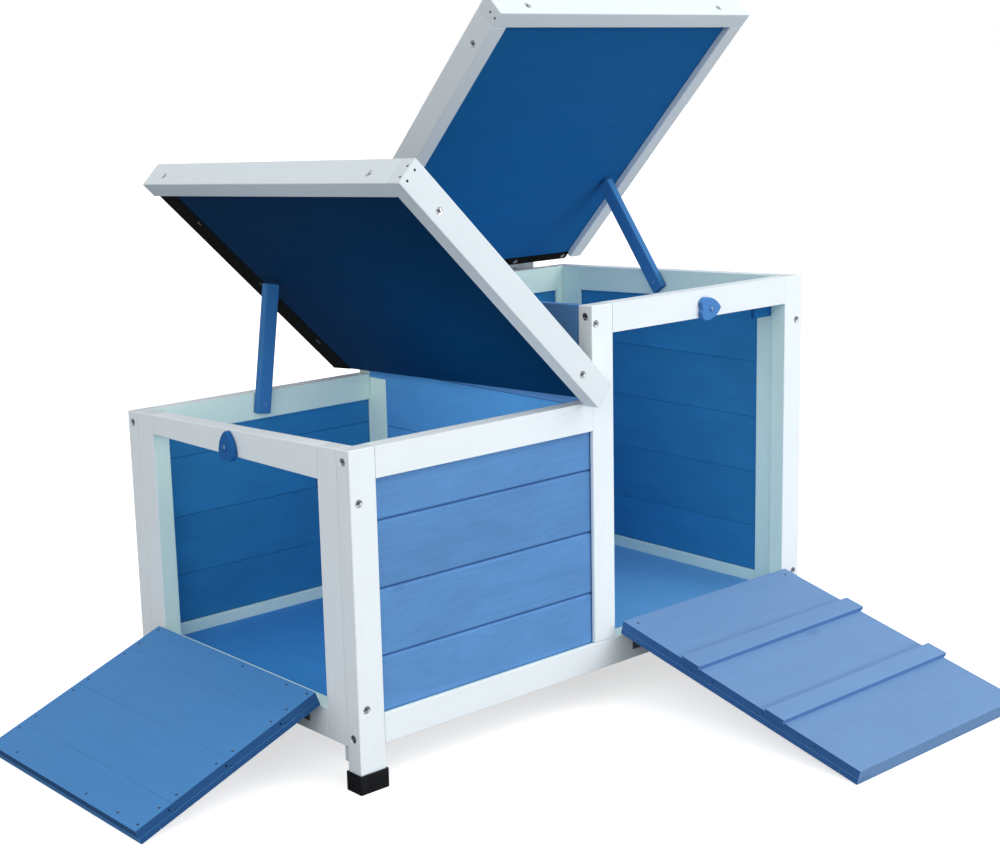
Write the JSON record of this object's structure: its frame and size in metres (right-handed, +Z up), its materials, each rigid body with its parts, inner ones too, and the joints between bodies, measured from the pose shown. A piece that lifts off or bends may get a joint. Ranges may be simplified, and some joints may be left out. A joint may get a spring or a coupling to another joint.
{
  "type": "rodent house",
  "caption": "Two-cabin wooden rodent house with lift-up sloped roofs on prop sticks, fold-down ramp doors and heart turn buttons.",
  "frame": {"origin": "on the ground, in the middle of the front left foot's sole", "axes": "+X along the front to the right, +Y to the back, +Z up"},
  "size_m": [0.814, 0.692, 0.6863],
  "materials": {
    "white_paint": "white painted pine, satin",
    "blue_paint": "blue painted pine, satin, grain showing",
    "ramp_blue_paint": "blue painted pine, satin, grain showing",
    "heart_blue_paint": "blue painted plywood, satin",
    "roof_felt": "mineral roofing felt, matte black",
    "black_plastic": "moulded black plastic, matte",
    "screw_steel": "bright zinc plated",
    "zinc_steel": "bright zinc plated"
  },
  "bodies": {
    "house": {"front_left_post": "white_paint", "front_middle_post": "white_paint", "front_right_post": "white_paint", "back_left_post": "white_paint", "back_middle_post": "white_paint", "back_right_post": "white_paint", "front_bottom_rail": "white_paint", "front_low_top_rail": "white_paint", "front_tall_top_rail": "white_paint", "back_bottom_rail": "white_paint", "back_low_top_rail": "white_paint", "back_tall_top_rail": "white_paint", "front_boards": "blue_paint", "back_low_boards": "blue_paint", "back_tall_boards": "blue_paint", "left_end_stiles": "white_paint", "left_end_rails": "white_paint", "right_end_stiles": "white_paint", "right_end_rails": "white_paint", "right_end_boards": "blue_paint", "partition_bottom_rail": "white_paint", "partition_stiles": "white_paint", "partition_boards": "blue_paint", "low_floor": "ramp_blue_paint", "tall_floor": "ramp_blue_paint", "floor_ledgers": "white_paint", "corner_blocks": "white_paint", "foot_caps": "black_plastic", "stop_blocks": "blue_paint", "frame_screws": "screw_steel", "pivot_screws": "screw_steel", "low_roof_fixed_hinges": "zinc_steel", "tall_roof_fixed_hinges": "zinc_steel", "left_ramp_fixed_hinges": "zinc_steel", "right_ramp_fixed_hinges": "zinc_steel"},
    "low_roof": {"low_roof_panel": "blue_paint", "low_roof_felt": "roof_felt", "low_roof_moving_hinges": "zinc_steel", "low_roof_screws": "screw_steel", "low_front_fascia": "white_paint", "low_end_fascia": "white_paint"},
    "tall_roof": {"tall_roof_panel": "blue_paint", "tall_roof_felt": "roof_felt", "tall_roof_moving_hinges": "zinc_steel", "tall_roof_screws": "screw_steel", "tall_front_fascia": "white_paint", "tall_left_fascia": "white_paint", "tall_right_fascia": "white_paint"},
    "low_prop": {"low_prop": "blue_paint"},
    "tall_prop": {"tall_prop": "blue_paint"},
    "left_ramp": {"left_ramp_boards": "ramp_blue_paint", "left_ramp_battens": "ramp_blue_paint", "left_ramp_moving_hinges": "zinc_steel"},
    "right_ramp": {"right_ramp_boards": "ramp_blue_paint", "right_ramp_battens": "ramp_blue_paint", "right_ramp_cleats": "ramp_blue_paint", "right_ramp_moving_hinges": "zinc_steel"},
    "low_button": {"low_button": "heart_blue_paint"},
    "tall_button": {"tall_button": "heart_blue_paint"}
  },
  "joints": [
    {"name": "low_roof_hinge", "type": "hinge", "parent": "house", "child": "low_roof", "pos_m": [0.2718, -0.009, 0.31631], "axis": [0, 0.9993, -0.0373], "range_deg": [-44.9, 17]},
    {"name": "tall_roof_hinge", "type": "hinge", "parent": "house", "child": "tall_roof", "pos_m": [0.4305, 0.362, 0.39497], "axis": [-1, 0, 0], "range_deg": [-44.2, 29.4]},
    {"name": "low_prop_pivot", "type": "hinge", "parent": "house", "child": "low_prop", "pos_m": [0.1305, 0.33065, 0.282], "axis": [0, 1, 0], "range_deg": [-106.01, 40.14]},
    {"name": "tall_prop_pivot", "type": "hinge", "parent": "house", "child": "tall_prop", "pos_m": [0.56465, 0.179, 0.37799], "axis": [-1, 0, 0], "range_deg": [-216.01, 143.69]},
    {"name": "left_ramp_hinge", "type": "hinge", "parent": "house", "child": "left_ramp", "pos_m": [-0.0165, 0.172, 0.0685], "axis": [0, 1, 0], "range_deg": [0, 111]},
    {"name": "right_ramp_hinge", "type": "hinge", "parent": "house", "child": "right_ramp", "pos_m": [0.4305, -0.0115, 0.0685], "axis": [-1, 0, 0], "range_deg": [0, 104.03]},
    {"name": "low_button_pivot", "type": "hinge", "parent": "house", "child": "low_button", "pos_m": [-0.014, 0.17, 0.28482], "axis": [1, 0, 0], "range_deg": [0, 180]},
    {"name": "tall_button_pivot", "type": "hinge", "parent": "house", "child": "tall_button", "pos_m": [0.436, -0.009, 0.3788], "axis": [0, 1, 0], "range_deg": [0, 90]}
  ],
  "couplings": [
    {"joint": "low_prop_pivot", "follows": "low_roof_hinge", "ratio": 2.3608},
    {"joint": "tall_prop_pivot", "follows": "tall_roof_hinge", "ratio": 4.8869}
  ]
}
